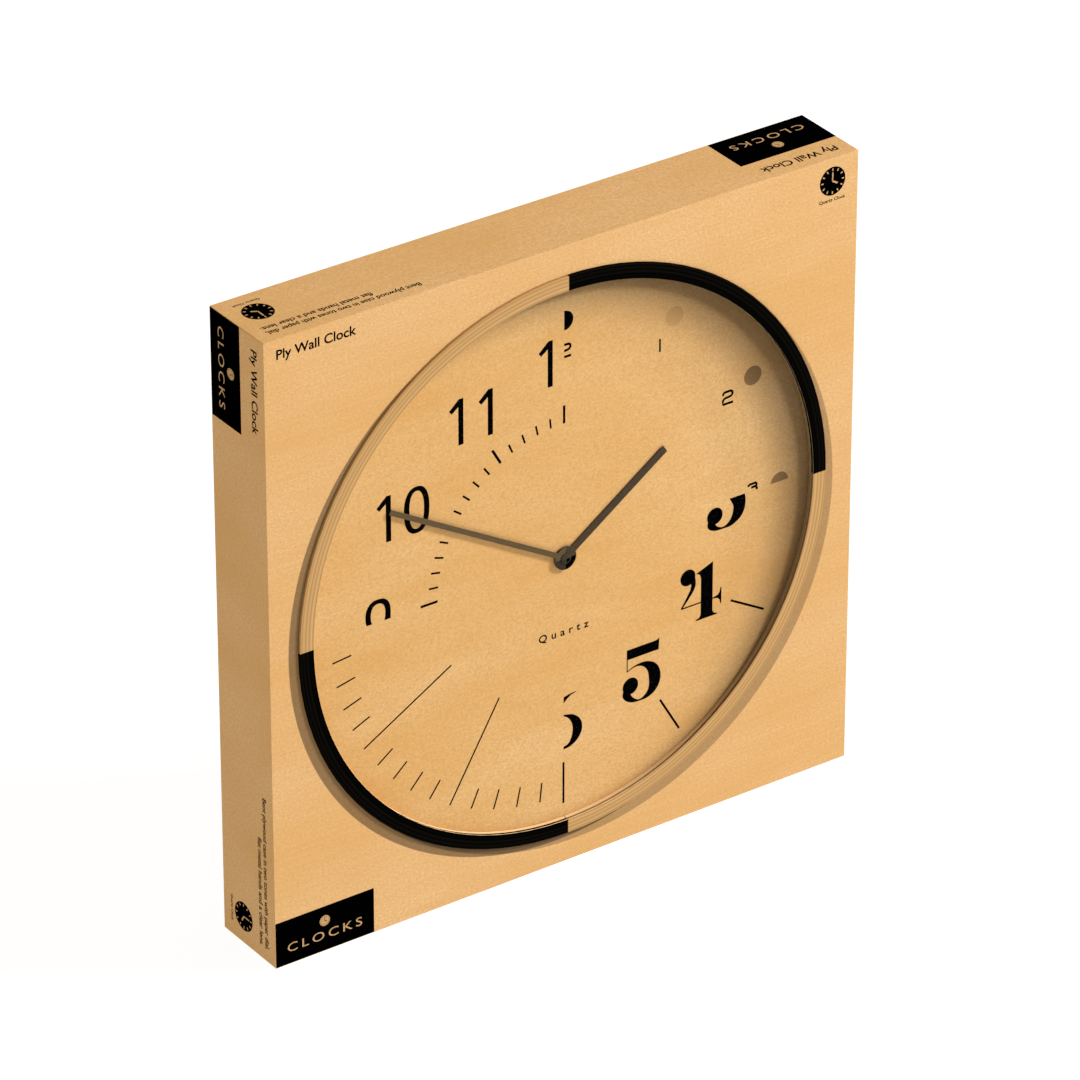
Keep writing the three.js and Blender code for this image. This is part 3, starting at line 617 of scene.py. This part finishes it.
# inner radius, outer radius and width of the dial's bars
MINUTE_TRACK = (107.2, 115, 1.5)
HOUR_TRACK = (107.1, 121.3, 2.0)
HOUR_BARS = (168.8, 203.1, 1.7)
MINUTE_LINES = (180.4, 196.2, 1.25)
HOUR_LINES = (110.8, 196.2, 1.25)
THIN_ONE = [
    (0, 0), (0, 36.2), (-3.7, 36.2), (-11.9, 28.7), (-9.7, 26.0), (-4.2, 30.2), (-4.2, 0),
]


def bars(name, angles, size):
    dial.shapes(name, [bar(angle, *size) for angle in angles], black_ink)


def minutes(first, last):
    """The angles of the minutes that aren't hours."""
    return [6 * minute for minute in range(first, last + 1) if minute % 5]


def thin_one(right, base):
    """A plain sans-serif 1, given its right edge and its base."""
    return [(right + u, base + v) for u, v in THIN_ONE]


def quarter_nine_to_twelve():
    dial.shapes("numeral_12_one", [thin_one(-9.7, 139.7)], black_ink)
    dial.shapes("numeral_11", [thin_one(-84.6, 118.0), thin_one(-60.0, 118.0)], black_ink)
    zero = oval_ring(-123.9, 78.7, 10.6, 18.4, 4.5, 3.5)
    dial.shapes("numeral_10", [thin_one(-145.2, 61.2)] + zero, black_ink)
    bowl = oval_ring(-156.8, 5.9, 10.5, 12.4, 4.4, 3.6)
    leg = rectangle(-150.8, -2, -146.4, 6)
    dial.shapes("numeral_9", bowl + [leg], black_ink, cuts=[ABOVE])
    bars("minute_track", minutes(46, 59), MINUTE_TRACK)
    bars("hour_track", (270, 300, 330, 360), HOUR_TRACK)


SMALL_TWO = [
    (0.65, 7.7), (0.95, 9.3), (2.3, 10.15), (7.3, 10.15), (8.8, 9.2), (8.95, 7.4), (7.9, 6.0),
    (5.4, 5.55), (2.3, 5.3), (0.95, 4.4), (0.65, 2.8), (0.65, 0.65), (9.6, 0.65),
]
SMALL_THREE = [
    (0.6, 4.2), (0.8, 5.2), (1.8, 5.75), (6.6, 5.75), (7.7, 5.0), (7.7, 3.8), (6.8, 3.1),
    (3.0, 2.85),
]
SMALL_THREE_LOWER = [(6.2, 3.0), (7.5, 2.4), (8.0, 1.2), (8.0, -2)]
SMALL_THREE_LEFT = 159.9
SMALL_STROKE = 1.95
DOT_RADIUS = 7.6
DOT_CIRCLE = 187.9


def small_two(left, base):
    return stroke([(left + u, base + v) for u, v in SMALL_TWO], SMALL_STROKE, smooth=False)


def dot(angle):
    return disc(*polar(angle, DOT_CIRCLE), DOT_RADIUS)


def quarter_twelve_to_three():
    dial.shapes("numeral_12_two", small_two(-3.75, 158.8), black_ink, cuts=[RIGHT])
    dial.shapes("numeral_1", [rectangle(80.85, 138.1, 82.35, 148.4)], black_ink)
    dial.shapes("numeral_2", small_two(136.2, 77.7), black_ink)
    three = []
    for path in (SMALL_THREE, SMALL_THREE_LOWER):
        moved = [(SMALL_THREE_LEFT + u, v) for u, v in path]
        three += stroke(moved, SMALL_STROKE, smooth=False)
    dial.shapes("numeral_3_upper", three, black_ink, cuts=[ABOVE])
    dial.shapes("dot_12", [dot(0)], black_ink, cuts=[RIGHT])
    dial.shapes("dot_1", [dot(30)], faint_ink)
    dial.shapes("dot_2", [dot(60)], brown_ink)
    dial.shapes("dot_3", [dot(90)], brown_ink, cuts=[ABOVE])


FAT_THREE = [
    (126.6, -12.6, 3), (128.0, -16.6, 6.6), (131.6, -20.2, 4.0), (138.4, -21.9, 1.5),
    (145.6, -19.9, 5.0), (151.0, -14.2, 9.3), (152.7, -7.0, 10.8), (150.9, 0.0, 12.2),
    (147.0, 6.0, 12.0),
]
FAT_FOUR_TAIL = [
    (110.0, -52.0, 7), (112.6, -57.6, 4.6), (112.4, -63.0, 3.7), (108.2, -69.8, 2.5),
    (102.5, -77.1, 1.1),
]
FAT_FOUR_STEM = [
    (115.2, -52.4), (130.0, -46.7), (130.0, -87.3), (131.4, -89.7), (134.0, -90.4),
    (134.0, -91.4), (115.4, -91.4), (115.4, -90.4), (118.2, -89.7), (119.6, -87.3),
    (119.6, -57.2), (118.5, -53.9),
]
FAT_FOUR_SERIF = [
    (131.0, -76.7), (134.4, -75.9), (136.3, -73.6), (136.9, -70.4), (137.8, -70.4),
    (137.8, -83.6), (136.9, -83.6), (136.3, -80.4), (134.4, -78.4), (131.0, -77.7),
]
FAT_FIVE_BAR = [
    (54.9, -95.3), (79.6, -95.3), (81.8, -94.9), (83.4, -93.9), (82.8, -103.4), (54.9, -103.4),
]
FAT_FIVE_BOWL = [
    (53.6, -127.8, 3), (54.7, -132.4, 6.4), (58.9, -137.3, 4.4), (65.8, -139.9, 1.4),
    (73.2, -138.0, 4.4), (78.2, -132.6, 8.4), (79.6, -125.0, 10.3), (77.5, -117.4, 8.8),
    (72.0, -112.2, 5.0), (65.4, -110.4, 1.9), (59.4, -111.3, 0.9), (55.3, -113.3, 0.8),
]
FAT_SIX_HOOK = [
    (-2, -122.0), (0.0, -120.0), (2.9, -117.2), (6.2, -115.1), (10.7, -113.9), (10.7, -113.3),
    (5.0, -113.8), (0.0, -115.0), (-2, -116.0),
]
FAT_SIX_BOWL = [
    (-3.0, -129.8, 1.2), (2.2, -130.9, 1.8), (7.6, -134.2, 4.9), (11.3, -139.8, 7.6),
    (11.9, -146.0, 8.2), (9.2, -152.2, 6.2), (4.4, -156.3, 3.0), (-2.0, -157.2, 2.0),
]
JUST_UNDER = 0.98  # the lift of a stroke that others cross, so that no two tops share a plane


def quarter_three_to_six():
    dial.shapes("numeral_3_lower", stroke(FAT_THREE), black_ink, cuts=[BELOW])
    dial.shapes("numeral_3_ball", [disc(131.1, -10.2, 6.8)], black_ink)
    dial.shapes("numeral_4_tail", stroke(FAT_FOUR_TAIL), black_ink)
    dial.shapes("numeral_4_ball", [disc(108.0, -53.1, 6.6)], black_ink)
    dial.shapes("numeral_4_stem", [FAT_FOUR_STEM], black_ink)
    dial.shapes("numeral_4_bar", [rectangle(102.2, -77.75, 131.2, -76.65)], black_ink, JUST_UNDER)
    dial.shapes("numeral_4_serif", [FAT_FOUR_SERIF], black_ink)
    dial.shapes("numeral_5_bar", [FAT_FIVE_BAR], black_ink)
    dial.shapes("numeral_5_upright", [rectangle(54.9, -113.4, 55.7, -103)], black_ink)
    dial.shapes("numeral_5_bowl", stroke(FAT_FIVE_BOWL), black_ink)
    dial.shapes("numeral_5_ball", [disc(58.2, -125.8, 6.8)], black_ink)
    dial.shapes("numeral_6_hook", [FAT_SIX_HOOK], black_ink, cuts=[RIGHT])
    dial.shapes("numeral_6_bowl", stroke(FAT_SIX_BOWL), black_ink, cuts=[RIGHT])
    bars("hour_bars", (120, 150, 180), HOUR_BARS)


def quarter_six_to_nine():
    bars("minute_lines", minutes(31, 44), MINUTE_LINES)
    bars("hour_lines", (210, 240), HOUR_LINES)


quarter_nine_to_twelve()
quarter_twelve_to_three()
quarter_three_to_six()
quarter_six_to_nine()
dial.words(
    "dial_word", "Quartz", black_ink, 0, -63.6, 43, 5.8, spacing=1.7, align=0.5, bold=TITLE_BOLD
)


# ---------------------------------------------------------------- hub
# the six-to-nine quarter, in the darker brown, is painted shade
HUB_QUARTERS = (
    ("12_to_3", 0, hour_hand_paint), ("3_to_6", 90, black_ink), ("6_to_9", 180, hub_shade_paint),
)
HUB_RADIUS = 8.9
CAP_RADIUS = 3.3
ARC_STEPS = 18


def hub_quarters(node, prefix, radius):
    """Paints three quarters of the round front of a node that turns with the minute hand."""
    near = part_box(node)[0].y
    face = Face((0, near, spindle.z), (1, 0, 0), (0, 0, 1), "minute_spindle")
    for hours, start, paint in HUB_QUARTERS:
        rim = [polar(start + 90 / ARC_STEPS * i, radius) for i in range(ARC_STEPS + 1)]
        face.shapes(f"{prefix}_quarter_{hours}", [[(0, 0)] + rim], paint)


hub_quarters("minute_hand", "hub", HUB_RADIUS)
hub_quarters("centre_cap", "cap", CAP_RADIUS)


# ---------------------------------------------------------------- print on the box
LABEL_WORD = "CLOCKS"
TITLE = "Ply Wall Clock"
MARK_WORDS = "Quartz Clock"
# text, base and width of each line of the description
LINES = (
    ("Bent plywood case in two tones with paper dial,", 53.2, 124.5),
    ("flat metal hands and a clear lens.", 46.2, 89.6),
)


def clock_mark(face, name, u, v, radius, disc_ink, line_ink, lift=1):
    """A plain round clock face, as a printed mark."""
    face.shapes(name + "_disc", [disc(u, v, radius, 64)], disc_ink, lift)
    ticks = [bar(30 * i, radius * 0.72, radius * 0.9, radius * 0.09) for i in range(12)]
    hands = [bar(0, 0, radius * 0.62, radius * 0.1), bar(120, 0, radius * 0.45, radius * 0.12)]
    moved = [[(u + a, v + b) for a, b in outline] for outline in ticks + hands]
    face.shapes(name + "_lines", moved, line_ink, lift + 1)


LABEL_WIDTH = 83.0
LABEL_INSET = 0.35


def label(face, prefix, height):
    """The black label in a corner of a face, with its word and mark."""
    low = LABEL_INSET
    face.shapes(prefix + "_label", [rectangle(low, low, LABEL_WIDTH, height)], black_ink)
    middle = LABEL_WIDTH / 2
    face.words(
        prefix + "_label_word", LABEL_WORD, kraft_ink, middle, height * 0.27, 62.7, 7.0,
        spacing=1.35, align=0.5, lift=2,
    )
    clock_mark(face, prefix + "_label_mark", middle, height * 0.68, 4.3, kraft_ink, black_ink, lift=2)


def title(face, prefix, left, base, width, height):
    face.words(prefix + "_title", TITLE, black_ink, left, base, width, height, bold=TITLE_BOLD)


def mark_word(face, prefix, middle, base, width, height):
    """The two words under a round mark."""
    face.words(
        prefix + "_mark_word", MARK_WORDS, black_ink, middle, base, width, height,
        align=0.5, bold=SMALL_BOLD,
    )


def edge_print(face, prefix, label_height):
    """The print on the box's top and left side, read with the back of the box as its foot."""
    label(face, prefix, label_height)
    title(face, prefix, 10.4, 50.6, 64.8, 7.0)
    middle = side - 22.4
    clock_mark(face, prefix + "_mark", middle, 25.6, 11.4, black_ink, kraft_ink)
    mark_word(face, prefix, middle, 9.6, 22, 2.3)
    for number, (text, base, width) in enumerate(LINES, 1):
        face.words(
            f"{prefix}_line_{number}", text, black_ink, side - 10.2, base, width, 4.5,
            align=1, bold=SMALL_BOLD,
        )


def front_print(face, prefix, label_height):
    """The print on the box's front, upright."""
    label(face, prefix, label_height)
    title(face, prefix, 10.3, side - 15.5, 64.5, 7.1)
    middle = side - 22.2
    clock_mark(face, prefix + "_mark", middle, side - 18.3, 11.1, black_ink, kraft_ink)
    mark_word(face, prefix, middle, side - 34.0, 22.7, 2.4)


front_print(front, "front", 36.9)
edge_print(top, "top", 40.1)
edge_print(left_side, "side", 36.6)

# ---------------------------------------------------------------- floor, light and world
FLOOR_HALF = 20.0
FLOOR_GLOW = 0.92
SKY = 0.264
SKY_TINT = (1.0, 0.85, 0.66)
# name, azimuth, elevation, distance, size, power, colour
LAMPS = (
    ("key_right", 60, 33, 9.0, 1.7, 1000, (0.913, 0.939, 1.0)),
    ("key_left", -46, 40, 5.0, 1.0, 12, (1.0, 0.917, 0.75)),
    ("overhead", 0, 90, 9.0, 1.7, 78, (1, 1, 1)),
)


def floor():
    mesh = bpy.data.meshes.new("floor")
    corners = rectangle(-FLOOR_HALF, -FLOOR_HALF, FLOOR_HALF, FLOOR_HALF)
    mesh.from_pydata([(x, y, 0) for x, y in corners], [], [(0, 1, 2, 3)])
    made = bpy.data.objects.new("floor", mesh)
    bpy.context.scene.collection.objects.link(made)
    paint = Surface("floor_white", (0.2, 0.2, 0.2, 1), 0.9, Specular_IOR_Level=0.0)
    paint.set("Emission Color", (1, 1, 1, 1))
    paint.set("Emission Strength", FLOOR_GLOW)
    mesh.materials.append(paint.material)


def area_light(name, azimuth, elevation, distance, size, power, colour):
    """A square lamp aimed at the dial; azimuth is in degrees from the front towards the right."""
    a, e = math.radians(azimuth), math.radians(elevation)
    away = Vector((math.sin(a) * math.cos(e), -math.cos(a) * math.cos(e), math.sin(e)))
    data = bpy.data.lights.new(name, "AREA")
    data.energy = power
    data.size = size
    data.color = colour
    made = bpy.data.objects.new(name, data)
    made.location = Vector((0, 0, spindle.z)) + away * distance
    made.rotation_euler = away.to_track_quat("Z", "Y").to_euler()
    bpy.context.scene.collection.objects.link(made)


def world(strength, tint):
    """A white backdrop that lights the object with that strength and tint."""
    made = bpy.data.worlds.new("studio")
    made.use_nodes = True
    tree = made.node_tree
    mix = tree.nodes.new("ShaderNodeMix")
    mix.data_type = "RGBA"
    mix.inputs[6].default_value = tuple(strength * c for c in tint) + (1,)
    mix.inputs[7].default_value = (1, 1, 1, 1)
    seen = tree.nodes.new("ShaderNodeLightPath").outputs["Is Camera Ray"]
    tree.links.new(seen, mix.inputs[0])
    tree.links.new(mix.outputs[2], tree.nodes["Background"].inputs["Color"])
    bpy.context.scene.world = made


floor()
for lamp in LAMPS:
    area_light(*lamp)
world(SKY, SKY_TINT)
bpy.context.scene.view_settings.view_transform = "Standard"
